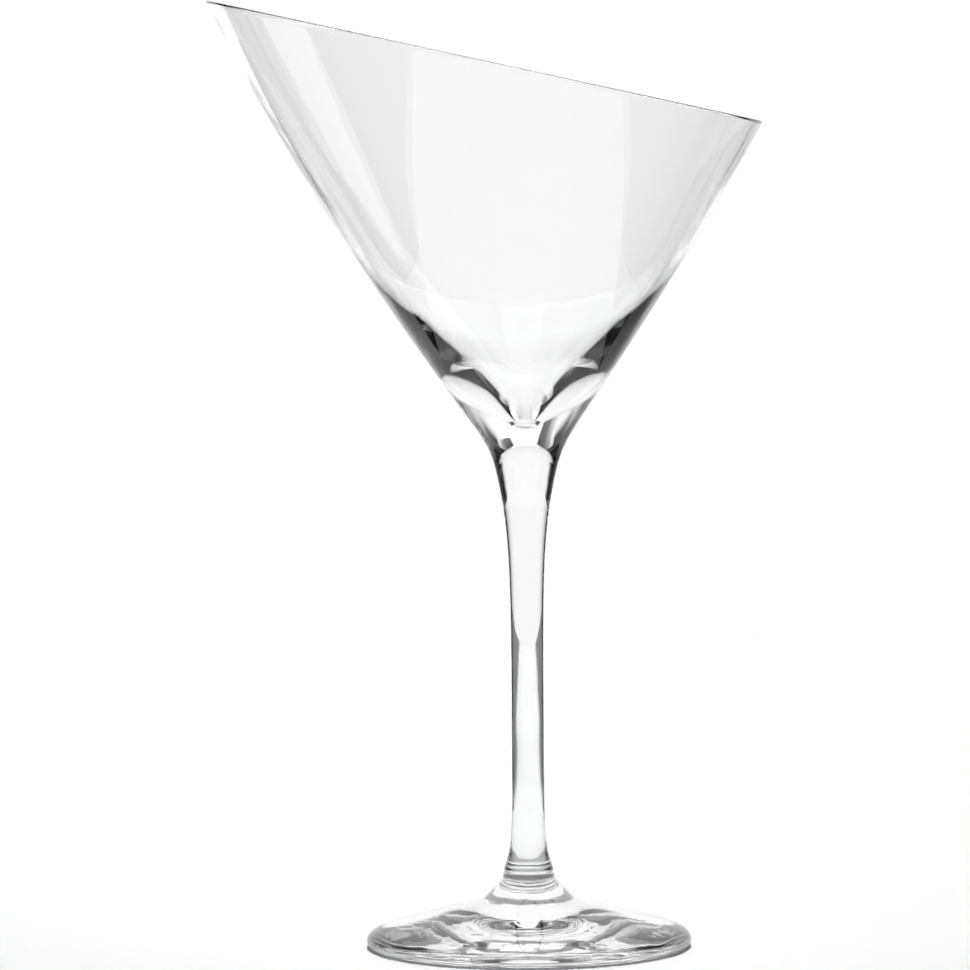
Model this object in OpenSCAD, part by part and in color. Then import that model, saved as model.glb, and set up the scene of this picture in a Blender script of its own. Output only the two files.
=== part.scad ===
// Martini glass with a slanted rim: a blown bowl, a drawn stem and a pressed-out foot, fused hot.
// Millimetres, +Z up. The origin is the centre of the ring that the foot rests on. The rim is high
// towards -X and low towards +X. Every outline is a chain of smooth curves, turned about Z.

/* [Rim] */
// Height at which the rim's plane crosses the bowl's own axis
rim_z = 188.9; // [180:0.1:192]
// Slant of the rim's plane against the bowl's axis, in degrees
rim_slant = 13.3; // [0:0.1:15]
// Thickness of the wall at the rim
rim_wall = 0.8; // [0.6:0.1:1.4]

/* [Bowl] */
// Height at which the fillet under the bowl runs into its wall
wall_low_z = 116; // [114:0.5:118]
// Diameter of the bowl at that height
wall_low_d = 27; // [25:0.5:29]
// Half-angle of the wall there, from the vertical
wall_low_angle = 35; // [32:0.5:37]
// Diameter to which the wall would grow at its full height
wall_top_d = 134.4; // [130:0.2:138]
// Half-angle of the wall at its full height
wall_top_angle = 25; // [20:0.5:29]
// Height of the lowest point inside the bowl
cavity_z = 113.9; // [112:0.1:115]
// Width and depth of the small round cup there
cup_d = 5.2; // [4:0.2:7]
cup_h = 1.9; // [1.5:0.1:2.5]
// Thickness of the wall, measured level, where the thick base ends
base_wall = 2; // [1.6:0.1:2.6]
// Lean of the bowl towards -X, left by hand when the stem was joined, in degrees
bowl_lean = 0.7; // [0:0.1:1.5]

/* [Stem] */
// Diameter of the stem at its waist
stem_d = 6.9; // [6:0.1:8]
// Height of the joint between the stem and the bowl
stem_top_z = 104; // [102:0.5:106]
// Diameter of that joint
stem_top_d = 13.7; // [12.5:0.1:14.5]
// Height of the stem's round end above that joint
stem_top_dome = 3; // [2:0.1:4]
// Height of the joint between the stem and the foot
stem_end_z = 16.2; // [15.8:0.1:17]
// Diameter of that joint
stem_end_d = 10.1; // [9.6:0.1:10.4]
// Depth of the stem's round end below that joint
stem_end_dome = 0.8; // [0.5:0.1:1.5]

/* [Foot] */
// Diameter of the foot
foot_d = 70; // [66:0.5:74]
// Diameter of the foot's flat ring, outside and inside
rest_d = 66.8; // [62:0.2:67]
rest_inner_d = 63; // [58:0.2:64]
// Height of the hollow under the middle of the foot
kick_h = 2.6; // [1:0.1:4]
// Slope of the foot's top, in degrees
foot_slope = 15.5; // [14:0.5:17]

/* [Hidden] */
glass = [0.90, 0.93, 0.94, 0.5];
// Steps along each curve of an outline, and around each turned shape
curve_steps = 16;
turn_steps = 180;

// Full height of the wall's outline, before the rim is cut
wall_top_z = 206;
wall_low = [wall_low_d / 2, wall_low_z];
wall_top = [wall_top_d / 2, wall_top_z];
// Inside of the wall: where the thick base ends, and at the full height
inside_z = 152;
outside_at_inside_z = 37.4;
inside_low = [outside_at_inside_z - base_wall, inside_z];
inside_top = wall_top - [rim_wall / cos(wall_top_angle), 0];

stem_top = [stem_top_d / 2, stem_top_z];
stem_end = [stem_end_d / 2, stem_end_z];
// Slope of the side where the stem widens into the bowl, from the vertical
stem_top_angle = 14;
waist_low_z = 36;
waist_top_z = 58;
// Above the joint with the foot: a rounded bead, then a short flare up to the slim stem
bead = [stem_end[0] + 0.25, stem_end_z + 0.5];
bead_heading = 40;
flare_angle = 17;
flare_top = [stem_d / 2 + 0.37, 23];
flare_top_angle = 5;

// A joint is part of a ball: radius of the ball whose cap has this height on a ring of this radius
function cap_ball(ring_r, cap_h) = (ring_r * ring_r + cap_h * cap_h) / (2 * cap_h);
top_ball_r = cap_ball(stem_top[0], stem_top_dome);
top_ball_z = stem_top_z + stem_top_dome - top_ball_r;
end_ball_r = cap_ball(stem_end[0], stem_end_dome);
end_ball_z = stem_end_z - stem_end_dome + end_ball_r;
kick_ball_r = cap_ball(rest_inner_d / 2, kick_h);

// Foot: its widest point, the shoulder behind the rounded edge, the neck, and the collar that rises
// to the joint, where it meets the stem's bead in a shallow groove
edge = [foot_d / 2, 1.5];
shoulder = [foot_d / 2 - 5.8, 4.9];
neck = [11.7, 10];
neck_slope = 20;
collar = [stem_end[0] + 0.45, stem_end_z - 0.7];
collar_heading = 95;

// The point this far from p along a heading, with 0 outwards and 90 upwards
function along(p, heading, distance) = p + distance * [cos(heading), sin(heading)];
function bezier(a, b, c, d, t) =
    pow(1 - t, 3) * a + 3 * pow(1 - t, 2) * t * b + 3 * (1 - t) * t * t * c + pow(t, 3) * d;
// A curve that leaves p at one heading and reaches q at another, pulled by a handle at each end
function sweep(p, p_heading, q, q_heading, pull) = [
    for (i = [0:curve_steps])
        bezier(p, along(p, p_heading, pull[0]), along(q, q_heading, -pull[1]), q, i / curve_steps)
];
function reversed(list) = [for (i = [len(list) - 1:-1:0]) list[i]];

// Headings along the inside of the bowl: out of the cup, up the thick base, and where the base ends
cup_heading = 72;
base_heading = 40;
inside_heading = 57.5;
// Lengths of the two handles of each curve, first at its start and then at its end
fillet_pull = [4, 6];
wall_pull = [50, 22];
cup_pull = [1.5, 1];
base_pull = [22, 16];
inside_pull = [26, 20];
bead_pull = [0.2, 0.25];
flare_pull = [2.4, 2.2];
slim_pull = [3, 6];
stem_top_pull = [27, 11];
rest_pull = [0.9, 0.8];
shoulder_pull = [2, 1.5];
slope_pull = [5.5, 9];
neck_pull = [2.6, 2];
collar_pull = [0.4, 0.3];

wall_low_heading = 90 - wall_low_angle;
wall_top_heading = 90 - wall_top_angle;
stem_top_heading = 90 - stem_top_angle;
flare_top_heading = 90 + flare_top_angle;
foot_heading = 180 - foot_slope;
neck_heading = 180 - neck_slope;

cup_edge = [cup_d / 2, cavity_z + cup_h];
bowl_outside = concat(
    sweep(stem_top, stem_top_heading, wall_low, wall_low_heading, fillet_pull),
    sweep(wall_low, wall_low_heading, wall_top, wall_top_heading, wall_pull)
);
bowl_inside = concat(
    sweep([0, cavity_z], 0, cup_edge, cup_heading, cup_pull),
    sweep(cup_edge, base_heading, inside_low, inside_heading, base_pull),
    sweep(inside_low, inside_heading, inside_top, wall_top_heading, inside_pull)
);
waist_low = [stem_d / 2, waist_low_z];
waist_top = [stem_d / 2, waist_top_z];
stem_side = concat(
    sweep(stem_end, bead_heading, bead, 100, bead_pull),
    sweep(bead, 90 + flare_angle, flare_top, flare_top_heading, flare_pull),
    sweep(flare_top, flare_top_heading, waist_low, 90, slim_pull),
    sweep(waist_top, 90, stem_top, stem_top_heading, stem_top_pull)
);
foot_side = concat(
    sweep([rest_d / 2, 0], 0, edge, 90, rest_pull),
    sweep(edge, 90, shoulder, foot_heading, shoulder_pull),
    sweep(shoulder, foot_heading, neck, neck_heading, slope_pull),
    sweep(neck, neck_heading, collar, collar_heading, neck_pull),
    sweep(collar, collar_heading, stem_end, 160, collar_pull)
);

// Everything above the slanted plane of the rim
module above_rim() {
    reach = wall_top_d;
    translate([0, 0, rim_z])
        rotate([0, rim_slant, 0])
            translate([-reach, -reach, 0])
                cube([2 * reach, 2 * reach, reach]);
}

// The bowl turns on the ball of its joint, so the joint stays closed at any lean
module leaned() {
    translate([0, 0, top_ball_z])
        rotate([0, -bowl_lean, 0])
            translate([0, 0, -top_ball_z])
                children();
}

module bowl() {
    below_joint = stem_top - [0.25, 1];
    color(glass)
    difference() {
        leaned() difference() {
            rotate_extrude($fn = turn_steps)
                polygon(concat(
                    [[0, below_joint[1]], below_joint],
                    bowl_outside,
                    reversed(bowl_inside)
                ));
            above_rim();
        }
        translate([0, 0, top_ball_z]) sphere(top_ball_r, $fn = turn_steps);
    }
}

module stem() {
    top_z = stem_top_z + stem_top_dome + 1;
    end_z = stem_end_z - stem_end_dome - 1;
    color(glass)
    rotate_extrude($fn = turn_steps)
        difference() {
            polygon(concat(
                [[0, end_z], [stem_end[0], end_z]],
                stem_side,
                [[stem_top[0], top_z], [0, top_z]]
            ));
            // Outside the ball of each joint
            difference() {
                translate([0, stem_top_z]) square([stem_top_d, 2 * stem_top_dome + 2]);
                translate([0, top_ball_z]) circle(top_ball_r, $fn = turn_steps);
            }
            difference() {
                translate([0, end_z - 1]) square([stem_end_d, stem_end_z - end_z + 1]);
                translate([0, end_ball_z]) circle(end_ball_r, $fn = 2 * turn_steps);
            }
        }
}

module foot() {
    above_joint = stem_end + [-0.1, 0.5];
    color(glass)
    rotate_extrude($fn = turn_steps)
        difference() {
            polygon(concat([[0, 0]], foot_side, [above_joint, [0, above_joint[1]]]));
            translate([0, end_ball_z]) circle(end_ball_r, $fn = 2 * turn_steps);
            translate([0, kick_h - kick_ball_r]) circle(kick_ball_r, $fn = 4 * turn_steps);
        }
}

bowl();
stem();
foot();
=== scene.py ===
"""A martini glass with a slanted rim: three clear glass pieces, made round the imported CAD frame.

Outlines are in millimetres, as in the CAD model, and each of their points is (radius, height).
Meshes, the camera and the studio are in metres.
"""
import math

import bmesh
import bpy
from mathutils import Matrix, Vector


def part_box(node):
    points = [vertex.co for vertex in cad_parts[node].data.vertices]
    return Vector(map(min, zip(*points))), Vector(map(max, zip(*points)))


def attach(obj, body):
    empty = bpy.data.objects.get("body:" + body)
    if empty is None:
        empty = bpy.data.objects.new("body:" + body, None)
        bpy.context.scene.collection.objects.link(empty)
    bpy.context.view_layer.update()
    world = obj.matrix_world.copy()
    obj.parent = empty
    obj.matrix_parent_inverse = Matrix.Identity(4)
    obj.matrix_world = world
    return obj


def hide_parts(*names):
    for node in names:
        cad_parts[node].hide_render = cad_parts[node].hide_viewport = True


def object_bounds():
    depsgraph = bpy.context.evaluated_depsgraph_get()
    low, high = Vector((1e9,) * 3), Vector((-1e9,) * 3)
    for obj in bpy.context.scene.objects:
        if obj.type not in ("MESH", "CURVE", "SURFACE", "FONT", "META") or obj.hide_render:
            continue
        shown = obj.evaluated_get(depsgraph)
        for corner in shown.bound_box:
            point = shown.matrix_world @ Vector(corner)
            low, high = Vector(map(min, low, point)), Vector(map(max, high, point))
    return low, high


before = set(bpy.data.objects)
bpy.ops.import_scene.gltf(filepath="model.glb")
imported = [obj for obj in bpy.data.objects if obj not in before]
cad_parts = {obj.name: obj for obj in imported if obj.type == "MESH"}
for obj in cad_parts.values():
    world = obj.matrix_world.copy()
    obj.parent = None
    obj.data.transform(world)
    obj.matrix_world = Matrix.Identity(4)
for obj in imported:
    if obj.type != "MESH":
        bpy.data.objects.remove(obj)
cad_low, cad_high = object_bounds()

MM = 0.001
AROUND = 256             # vertices round each ring
CURVE_STEPS = 40         # rings along a curve of an outline, unless it is tiny or long
TINY_STEPS = 8
LONG_STEPS = 60
BASE_STEPS = 90
WALL_STEPS = 100
CAP_STEPS = 24           # rings along the ball face of a joint
ON_AXIS = 1e-4           # a radius under this is a point on the axis
GLASS, JOINT = 0, 1      # material slots of every piece

# ---------------------------------------------------------------- sizes, shared with the CAD model
stem_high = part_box("stem")[1] / MM
foot_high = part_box("foot")[1] / MM

stem_top_dome = 3
stem_top = (stem_high.x, stem_high.z - stem_top_dome)
stem_end_dome = 0.8
stem_end = (5.05, foot_high.z)

rim_z = 188.9
rim_slant = math.radians(13.3)
rim_wall = 0.8
bowl_lean = math.radians(0.7)

wall_low = (13.5, 116)
wall_low_heading = 55
wall_top = (67.2, 206)
wall_top_heading = 65
cavity_tip = (0, 113.9)
cup_edge = (2.6, 115.8)
cup_heading = 72
base_heading = 40
inside_low = (35.4, 152)
inside_heading = 57.5
level_wall = rim_wall / math.sin(math.radians(wall_top_heading))
inside_top = (wall_top[0] - level_wall, wall_top[1])

stem_top_heading = 76
waist_r = 3.45
waist_low = (waist_r, 36)
waist_top = (waist_r, 58)
bead = (stem_end[0] + 0.25, stem_end[1] + 0.5)
bead_heading = 40
bead_top_heading = 100
flare_heading = 107
flare_top = (waist_r + 0.37, 23)
flare_top_heading = 95

collar = (stem_end[0] + 0.45, stem_end[1] - 0.7)
groove_heading = -20
collar_heading = -85
neck = (11.7, 10)
neck_heading = -20
shoulder = (foot_high.x - 5.8, 4.9)
slope_heading = -15.5
foot_edge = (foot_high.x, 1.5)
rest_r = 33.4
rest_inner_r = 31.5
kick_h = 2.6

# Lengths of the two handles of each curve, first at its start and then at its end
fillet_pull = (4, 6)
wall_pull = (50, 22)
cup_pull = (1.5, 1)
base_pull = (22, 16)
inside_pull = (26, 20)
bead_pull = (0.2, 0.25)
flare_pull = (2.4, 2.2)
slim_pull = (3, 6)
stem_top_pull = (27, 11)
collar_pull = (0.3, 0.4)
neck_pull = (2, 2.6)
slope_pull = (9, 5.5)
shoulder_pull = (1.5, 2)
rest_pull = (0.8, 0.9)


# ---------------------------------------------------------------- outlines
def along(point, heading, distance):
    """The point this far off along a heading in degrees: 0 is outwards, 90 is up."""
    a = math.radians(heading)
    return (point[0] + distance * math.cos(a), point[1] + distance * math.sin(a))


def sweep(p, p_heading, q, q_heading, pull, steps=CURVE_STEPS):
    """A Bezier curve that leaves p and reaches q at these headings, with a handle at each end."""
    handles = (p, along(p, p_heading, pull[0]), along(q, q_heading, -pull[1]), q)
    points = []
    for i in range(steps + 1):
        t = i / steps
        weights = ((1 - t) ** 3, 3 * (1 - t) ** 2 * t, 3 * (1 - t) * t * t, t**3)
        points.append(tuple(sum(w * h[k] for w, h in zip(weights, handles)) for k in (0, 1)))
    return points


def chain(*curves):
    """Curves joined end to end."""
    points = list(curves[0])
    for curve in curves[1:]:
        points += curve[1:]
    return points


def ball_radius(ring_r, cap):
    """Radius of the ball whose cap of this height stands on a ring of this radius."""
    return (ring_r**2 + cap**2) / (2 * cap)


def cap_arc(ring_r, ring_z, cap, steps=CAP_STEPS):
    """The arc of a ball's cap from its ring to the axis; a negative cap hangs down."""
    ball = ball_radius(ring_r, abs(cap))
    half = math.asin(ring_r / ball)
    side = math.copysign(1, cap)
    centre_z = ring_z + cap - side * ball
    points = []
    for i in range(steps + 1):
        a = half * (1 - i / steps)
        points.append((ball * math.sin(a), centre_z + side * ball * math.cos(a)))
    return points


bowl_outside = chain(
    sweep(stem_top, stem_top_heading, wall_low, wall_low_heading, fillet_pull),
    sweep(wall_low, wall_low_heading, wall_top, wall_top_heading, wall_pull, WALL_STEPS),
)
bowl_inside = chain(
    sweep(cavity_tip, 0, cup_edge, cup_heading, cup_pull),
    sweep(cup_edge, base_heading, inside_low, inside_heading, base_pull, BASE_STEPS),
    sweep(inside_low, inside_heading, inside_top, wall_top_heading, inside_pull, LONG_STEPS),
)
stem_side = chain(
    sweep(stem_end, bead_heading, bead, bead_top_heading, bead_pull, TINY_STEPS),
    sweep(bead, flare_heading, flare_top, flare_top_heading, flare_pull),
    sweep(flare_top, flare_top_heading, waist_low, 90, slim_pull),
    [waist_low, waist_top],
    sweep(waist_top, 90, stem_top, stem_top_heading, stem_top_pull, LONG_STEPS),
)
foot_top = chain(
    sweep(stem_end, groove_heading, collar, collar_heading, collar_pull, TINY_STEPS),
    sweep(collar, collar_heading, neck, neck_heading, neck_pull),
    sweep(neck, neck_heading, shoulder, slope_heading, slope_pull),
    sweep(shoulder, slope_heading, foot_edge, -90, shoulder_pull),
    sweep(foot_edge, -90, (rest_r, 0), 180, rest_pull),
)
foot_under = chain([(rest_r, 0)], cap_arc(rest_inner_r, 0, kick_h, LONG_STEPS))
stem_lower_cap = cap_arc(*stem_end, -stem_end_dome)
stem_upper_cap = cap_arc(*stem_top, stem_top_dome)


# ---------------------------------------------------------------- turned meshes
def add_ring(bm, radius, z):
    """The ring of vertices at an outline's point, or the single vertex on the axis."""
    if radius < ON_AXIS:
        return [bm.verts.new((0, 0, z * MM))]
    ring = []
    for i in range(AROUND):
        a = 2 * math.pi * i / AROUND
        ring.append(bm.verts.new((radius * MM * math.cos(a), radius * MM * math.sin(a), z * MM)))
    return ring


def bridge(bm, lower, upper, slot):
    """Faces between two rings, either of which may be a single vertex."""
    for i in range(AROUND):
        j = (i + 1) % AROUND
        if len(lower) == 1:
            face = bm.faces.new((lower[0], upper[j], upper[i]))
        elif len(upper) == 1:
            face = bm.faces.new((lower[i], lower[j], upper[0]))
        else:
            face = bm.faces.new((lower[i], lower[j], upper[j], upper[i]))
        face.material_index = slot
        face.smooth = True


def sharpen(ring):
    """Marks a ring's edges sharp, so shading breaks there."""
    members = set(ring)
    for vertex in ring:
        for edge in vertex.link_edges:
            if edge.other_vert(vertex) in members:
                edge.smooth = False


def finish_piece(bm, name, materials, node):
    """Turns the bmesh into an object that stands for its CAD node."""
    bmesh.ops.recalc_face_normals(bm, faces=bm.faces)
    mesh = bpy.data.meshes.new(name)
    bm.to_mesh(mesh)
    bm.free()
    for material in materials:
        mesh.materials.append(material)
    piece = bpy.data.objects.new(name, mesh)
    bpy.context.scene.collection.objects.link(piece)
    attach(piece, "root")
    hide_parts(node)
    return piece


def turn(name, runs, materials, node):
    """A closed piece turned from runs of (outline, slot), each starting where the last one ended."""
    bm = bmesh.new()
    first_outline = runs[0][0]
    ring = add_ring(bm, *first_outline[0])
    ends = []
    for outline, slot in runs:
        for radius, z in outline[1:]:
            following = add_ring(bm, radius, z)
            bridge(bm, ring, following, slot)
            ring = following
        ends.append(ring)
    for ring in ends[:-1]:
        sharpen(ring)
    return finish_piece(bm, name, materials, node)


# ---------------------------------------------------------------- materials
def clear_glass(name, waves_per_metre, depth):
    """Clear glass whose surface keeps faint waves from the making, as close as this on each axis."""
    material = bpy.data.materials.new(name)
    material.use_nodes = True
    nodes, links = material.node_tree.nodes, material.node_tree.links
    shader = nodes["Principled BSDF"]
    shader.inputs["Base Color"].default_value = (1, 1, 1, 1)
    shader.inputs["Transmission Weight"].default_value = 1
    shader.inputs["Roughness"].default_value = 0
    shader.inputs["IOR"].default_value = 1.5
    place = nodes.new("ShaderNodeTexCoord")
    stretch = nodes.new("ShaderNodeMapping")
    stretch.inputs["Scale"].default_value = waves_per_metre
    waves = nodes.new("ShaderNodeTexNoise")
    waves.inputs["Scale"].default_value = 1
    waves.inputs["Detail"].default_value = 2
    waves.inputs["Distortion"].default_value = 0.6
    bump = nodes.new("ShaderNodeBump")
    bump.inputs["Strength"].default_value = 1
    bump.inputs["Distance"].default_value = depth
    links.new(place.outputs["Object"], stretch.inputs["Vector"])
    links.new(stretch.outputs["Vector"], waves.inputs["Vector"])
    links.new(waves.outputs["Fac"], bump.inputs["Height"])
    links.new(bump.outputs["Normal"], shader.inputs["Normal"])
    return material


def fused_joint():
    """Where two pieces are fused the glass runs on, so the face between them doesn't show."""
    material = bpy.data.materials.new("fused_joint")
    material.use_nodes = True
    shader = material.node_tree.nodes["Principled BSDF"]
    shader.inputs["Alpha"].default_value = 0
    return material


joint_material = fused_joint()

# ---------------------------------------------------------------- stem and foot
# Waves run along the drawn stem, and lie round in the foot
stem = turn(
    "stem_glass",
    [(stem_lower_cap[::-1], JOINT), (stem_side, GLASS), (stem_upper_cap, JOINT)],
    [clear_glass("stem_glass", (300, 300, 60), 0.06 * MM), joint_material],
    "stem",
)
foot = turn(
    "foot_glass",
    [(stem_lower_cap[::-1], JOINT), (foot_top, GLASS), (foot_under, GLASS)],
    [clear_glass("foot_glass", (90, 90, 300), 0.1 * MM), joint_material],
    "foot",
)

# ---------------------------------------------------------------- bowl
SPLIT_Z = 153            # below it the rings are level, above it they climb to the rim
SAME_Z = 0.001           # heights closer than this are the same
UPPER_RINGS = 48
LIP_STEPS = 12
LIP_BULGE = 0.35         # height of the lip's rounding, in half thicknesses of the wall
CUT_HALVINGS = 40        # of the span in which the rim's plane meets the wall
LEAN_OVER = 12           # height over which the lean sets in above the joint

lean_pivot = Vector((0, 0, stem_high.z - ball_radius(stem_top[0], stem_top_dome)))


def radius_at(outline, z):
    """Radius of an outline at a height, by the straight stretch that holds it."""
    for (r0, z0), (r1, z1) in zip(outline, outline[1:]):
        if z0 <= z <= z1:
            return r0 + (r1 - r0) * (z - z0) / (z1 - z0) if z1 > z0 else r0
    return outline[-1][0]


def rim_height(x):
    """Height of the rim's plane at this x, before the bowl leans."""
    return rim_z - x * math.tan(rim_slant)


def cut_height(outline, cosine):
    """Height at which the wall's outline meets the rim's plane on one meridian."""
    low, high = outline[0][1], outline[-1][1]
    for _ in range(CUT_HALVINGS):
        middle = (low + high) / 2
        if middle < rim_height(radius_at(outline, middle) * cosine):
            low = middle
        else:
            high = middle
    return low


def wall_side(outline, top):
    """Points up one side of the wall: the outline's own below the split, then even steps to the lip."""
    lower = [point for point in outline if point[1] < SPLIT_Z - SAME_Z]
    upper = []
    for i in range(UPPER_RINGS + 1):
        z = SPLIT_Z + (top - SPLIT_Z) * i / UPPER_RINGS
        upper.append((radius_at(outline, z), z))
    return lower + upper


def wall_meridian(angle):
    """The wall's outline on one meridian, from the joint's ring over the lip to the cavity's tip."""
    cosine = math.cos(angle)
    bulge = LIP_BULGE * rim_wall / 2
    outer = wall_side(bowl_outside, cut_height(bowl_outside, cosine) - bulge)
    inner = wall_side(bowl_inside, cut_height(bowl_inside, cosine) - bulge)
    (outer_r, outer_z), (inner_r, inner_z) = outer[-1], inner[-1]
    middle_r, middle_z = (outer_r + inner_r) / 2, (outer_z + inner_z) / 2
    half_r, half_z = (outer_r - inner_r) / 2, (outer_z - inner_z) / 2
    lip = []
    for i in range(1, LIP_STEPS):
        a = math.pi * i / LIP_STEPS
        across, up = math.cos(a), LIP_BULGE * math.sin(a)
        lip.append((middle_r + half_r * across - half_z * up, middle_z + half_z * across + half_r * up))
    return outer + lip + inner[::-1]


def leaned(x, y, z):
    """A point of the bowl, in metres, with the lean growing smoothly from nothing at the joint."""
    t = min(max((z - stem_top[1]) / LEAN_OVER, 0), 1)
    lean = bowl_lean * t * t * (3 - 2 * t)
    point = Vector((x, y, z)) - lean_pivot
    point.rotate(Matrix.Rotation(-lean, 3, "Y"))
    return (point + lean_pivot) * MM


def make_bowl():
    """The bowl: a column of vertices on each meridian, closed by the cavity's tip and the joint's face."""
    bm = bmesh.new()
    columns = []
    for i in range(AROUND):
        a = 2 * math.pi * i / AROUND
        wall = wall_meridian(a)[:-1]
        columns.append([bm.verts.new(leaned(r * math.cos(a), r * math.sin(a), z)) for r, z in wall])
    for i in range(AROUND):
        this, beside = columns[i], columns[(i + 1) % AROUND]
        for k in range(len(this) - 1):
            bm.faces.new((this[k], beside[k], beside[k + 1], this[k + 1])).smooth = True
    tip = bm.verts.new(leaned(0, 0, cavity_tip[1]))
    bridge(bm, [column[-1] for column in columns], [tip], GLASS)
    ring = joint_ring = [column[0] for column in columns]
    for radius, z in stem_upper_cap[1:]:
        following = add_ring(bm, radius, z)
        bridge(bm, following, ring, JOINT)
        ring = following
    sharpen(joint_ring)
    materials = [clear_glass("bowl_glass", (60, 60, 18), 0.05 * MM), joint_material]
    return finish_piece(bm, "bowl_glass", materials, "bowl")


bowl = make_bowl()

# ---------------------------------------------------------------- camera
CAMERA_LENS = 225.3
CAMERA_AWAY = 1.3        # from the glass's axis
CAMERA_RISE = 0.09086    # above the point that it aims at
CAMERA_ROLL = math.radians(-0.4)
AIM_OFFSET = Vector((-0.44, 0, -2.27)) * MM


def make_camera():
    """A long lens a little above the glass, aimed close to the middle of the frame's box."""
    data = bpy.data.cameras.new("camera")
    data.lens = CAMERA_LENS
    data.sensor_width = 36
    data.clip_start = 0.05
    data.clip_end = 20
    made = bpy.data.objects.new("camera", data)
    bpy.context.scene.collection.objects.link(made)
    aim = (cad_low + cad_high) / 2 + AIM_OFFSET
    aim.y = 0
    place = aim + Vector((0, -CAMERA_AWAY, CAMERA_RISE))
    turned = (aim - place).to_track_quat("-Z", "Y").to_matrix().to_4x4()
    made.matrix_world = Matrix.Translation(place) @ turned @ Matrix.Rotation(CAMERA_ROLL, 4, "Z")
    bpy.context.scene.camera = made
    return made


camera = make_camera()

# ---------------------------------------------------------------- studio
# The glass stands on a turntable in front of a fixed camera and studio, so the floor, cards and lamps
# hang on one upright stand that faces wherever the camera faces. +Y is away from the camera, +X its right.
stand = bpy.data.objects.new("studio_stand", None)
bpy.context.scene.collection.objects.link(stand)
facing = stand.constraints.new("COPY_ROTATION")
facing.target = camera
facing.use_x = facing.use_y = False

WORLD_GLOW = 0.04
FLOOR_TONE = 0.95
FLOOR_X, FLOOR_Y = (-1.2, 1.2), (-0.27, 0.7)
FLOOR_Z = cad_low.z - 0.0002
FLAG_TONE = 0.02
FLAG_X = 0.156
FLAG_Y, FLAG_Z = (-0.5, 0.112), (0, 0.33)
STRIP_GLOW = 1.4
STRIP_X = FLAG_X - 0.004
STRIP_Y, STRIP_Z = (0.107, 0.214), (0.277, 0.68)
SCREEN_AT = 2.5
SCREEN_STEPS = 32
SCREEN_GLOW, SCREEN_END_GLOW = 1.02, 0.02
# Name, half-width, heights, and where its light starts and stops fading; widths are azimuths in degrees
BACK_SCREENS = (
    ("backdrop", 90, (-1.6, 0.5), (30, 75)),
    ("back_low", 60, (0.5, 1.15), (32, 44)),
    ("back_high", 60, (1.15, 3.2), (34, 56)),
)
FRONT_AZIMUTHS, FRONT_Z, FRONT_GLOW = (150, 210), (1.9, 3.6), 0.9
POOLS = (
    ("near_pool", (-0.19, 0.17), (-0.2, 0.35)),
    ("far_pool", (-0.26, 0.26), (0.35, 1.1)),
)
POOL_Z, POOL_WATTS_PER_M2, POOL_SPREAD = 0.9, 2.58, math.radians(8)
SOFTBOX_X, SOFTBOX_Y, SOFTBOX_Z, SOFTBOX_WATTS_PER_M2 = (-0.6, 0.6), (-0.05, 1.85), 1.9, math.pi

world = bpy.data.worlds.new("studio")
bpy.context.scene.world = world
world.use_nodes = True
world.node_tree.nodes["Background"].inputs["Color"].default_value = (1, 1, 1, 1)
world.node_tree.nodes["Background"].inputs["Strength"].default_value = WORLD_GLOW


def on_stand(thing):
    """Hangs an object on the stand."""
    bpy.context.scene.collection.objects.link(thing)
    thing.parent = stand
    return thing


def plain(name, tone):
    """A matt surface of one grey tone."""
    material = bpy.data.materials.new(name)
    material.use_nodes = True
    shader = material.node_tree.nodes["Principled BSDF"]
    shader.inputs["Base Color"].default_value = (tone, tone, tone, 1)
    shader.inputs["Roughness"].default_value = 1
    shader.inputs["Specular IOR Level"].default_value = 0
    return material


def glow(name, brightness):
    """An even white light source."""
    material = plain(name, 0)
    shader = material.node_tree.nodes["Principled BSDF"]
    shader.inputs["Emission Color"].default_value = (1, 1, 1, 1)
    shader.inputs["Emission Strength"].default_value = brightness
    return material


def fading_glow(name, fade_from, fade_to):
    """A curved screen's light: even in the middle, fading to its sides between two azimuths."""
    material = glow(name, SCREEN_GLOW)
    nodes, links = material.node_tree.nodes, material.node_tree.links
    place = nodes.new("ShaderNodeTexCoord")
    split = nodes.new("ShaderNodeSeparateXYZ")
    azimuth = nodes.new("ShaderNodeMath")
    azimuth.operation = "ARCTAN2"
    either_side = nodes.new("ShaderNodeMath")
    either_side.operation = "ABSOLUTE"
    fade = nodes.new("ShaderNodeMapRange")
    fade.interpolation_type = "SMOOTHSTEP"
    fade.inputs["From Min"].default_value = math.radians(fade_from)
    fade.inputs["From Max"].default_value = math.radians(fade_to)
    fade.inputs["To Min"].default_value = SCREEN_GLOW
    fade.inputs["To Max"].default_value = SCREEN_END_GLOW
    links.new(place.outputs["Object"], split.inputs[0])
    links.new(split.outputs["X"], azimuth.inputs[0])
    links.new(split.outputs["Y"], azimuth.inputs[1])
    links.new(azimuth.outputs[0], either_side.inputs[0])
    links.new(either_side.outputs[0], fade.inputs["Value"])
    links.new(fade.outputs[0], nodes["Principled BSDF"].inputs["Emission Strength"])
    return material


def stage_mesh(name, points, faces, material):
    """A part of the studio from its points and faces."""
    mesh = bpy.data.meshes.new(name)
    mesh.from_pydata(points, [], faces)
    mesh.materials.append(material)
    on_stand(bpy.data.objects.new(name, mesh))


def level_card(name, x, y, z, material):
    """A level card between two sides and two depths."""
    corners = [(x[0], y[0], z), (x[1], y[0], z), (x[1], y[1], z), (x[0], y[1], z)]
    stage_mesh(name, corners, [(0, 1, 2, 3)], material)


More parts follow.
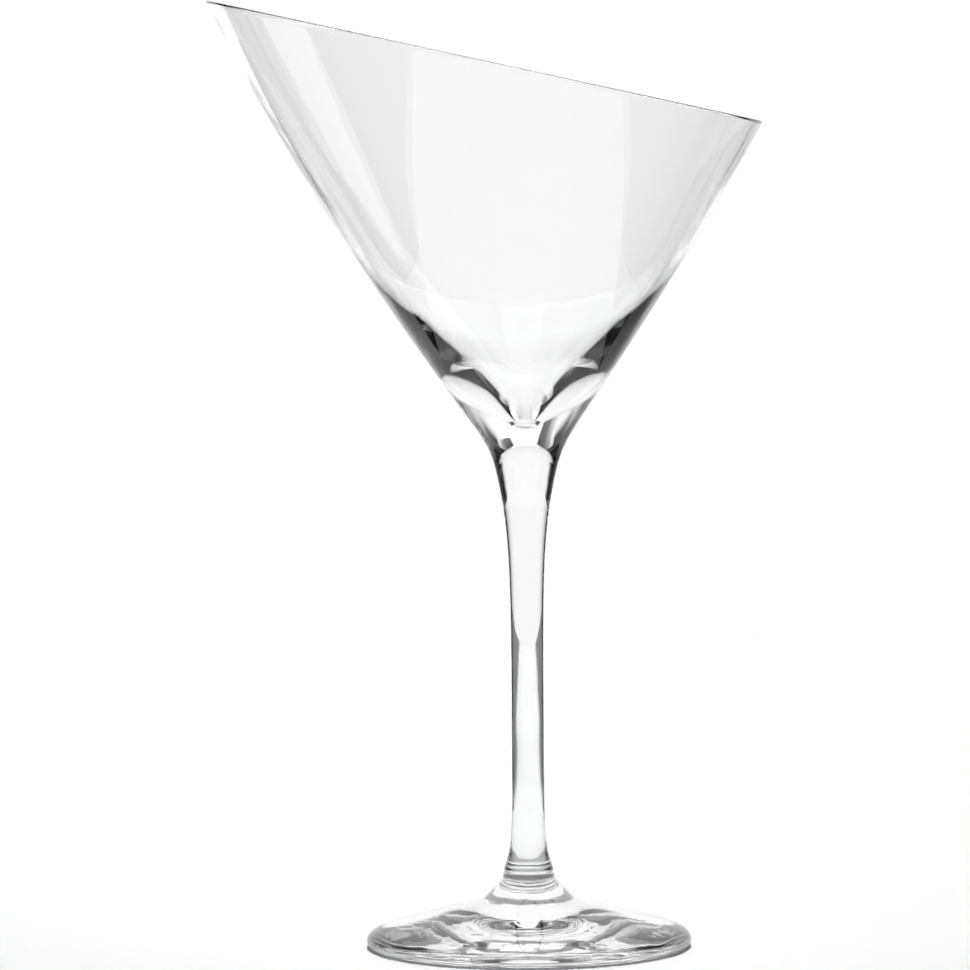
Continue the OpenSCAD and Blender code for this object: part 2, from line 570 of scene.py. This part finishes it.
def upright_card(name, x, y, z, material):
    """An upright card at one x, between two depths and two heights."""
    corners = [(x, y[0], z[0]), (x, y[1], z[0]), (x, y[1], z[1]), (x, y[0], z[1])]
    stage_mesh(name, corners, [(0, 1, 2, 3)], material)


def curved_screen(name, azimuths, heights, material):
    """A screen curved round the glass; azimuth 0 is straight behind it and 90 is on its right."""
    points = []
    for i in range(SCREEN_STEPS + 1):
        a = math.radians(azimuths[0] + (azimuths[1] - azimuths[0]) * i / SCREEN_STEPS)
        points += [(SCREEN_AT * math.sin(a), SCREEN_AT * math.cos(a), z) for z in heights]
    faces = [(k, k + 2, k + 3, k + 1) for k in range(0, 2 * SCREEN_STEPS, 2)]
    stage_mesh(name, points, faces, material)


def make_lamp(name, x, y, z, watts_per_m2):
    """A level lamp that shines down from a rectangle."""
    lamp = bpy.data.lights.new(name, "AREA")
    lamp.shape = "RECTANGLE"
    lamp.size, lamp.size_y = x[1] - x[0], y[1] - y[0]
    lamp.energy = watts_per_m2 * lamp.size * lamp.size_y
    holder = on_stand(bpy.data.objects.new(name, lamp))
    holder.location = ((x[0] + x[1]) / 2, (y[0] + y[1]) / 2, z)
    return holder


def light_group(name, pieces):
    """A collection of pieces that a lamp is linked to."""
    group = bpy.data.collections.new(name)
    for piece in pieces:
        group.objects.link(piece)
    return group


level_card("floor", FLOOR_X, FLOOR_Y, FLOOR_Z, plain("floor_white", FLOOR_TONE))
flag_black = plain("flag_black", FLAG_TONE)
upright_card("flag_left", -FLAG_X, FLAG_Y, FLAG_Z, flag_black)
upright_card("flag_right", FLAG_X, FLAG_Y, FLAG_Z, flag_black)
upright_card("strip_light", STRIP_X, STRIP_Y, STRIP_Z, glow("strip_light", STRIP_GLOW))
for name, half_width, heights, fade in BACK_SCREENS:
    curved_screen(name, (-half_width, half_width), heights, fading_glow(name, *fade))
curved_screen("front", FRONT_AZIMUTHS, FRONT_Z, glow("front", FRONT_GLOW))

# Two lamps with a narrow grid light the floor and don't show in the glass; only foot and stem shade it
floor_shadow = light_group("casts_the_floor_shadow", (stem, foot))
for name, x, y in POOLS:
    pool = make_lamp(name, x, y, POOL_Z, POOL_WATTS_PER_M2)
    pool.data.spread = POOL_SPREAD
    pool.visible_glossy = pool.visible_transmission = False
    pool.light_linking.blocker_collection = floor_shadow

# A wide softbox above lights the glass only, and shows in nothing else
softbox = make_lamp("top_softbox", SOFTBOX_X, SOFTBOX_Y, SOFTBOX_Z, SOFTBOX_WATTS_PER_M2)
softbox.data.use_shadow = False
softbox.visible_camera = False
softbox.light_linking.receiver_collection = light_group("all_glass", (bowl, stem, foot))

# Light passes through many faces of glass, and none of it is clipped on the way
bpy.context.scene.cycles.sample_clamp_indirect = 0
bpy.context.scene.cycles.max_bounces = 24
bpy.context.scene.cycles.transmission_bounces = 24
bpy.context.scene.cycles.glossy_bounces = 12
bpy.context.scene.cycles.transparent_max_bounces = 24
bpy.context.scene.view_settings.view_transform = "Standard"
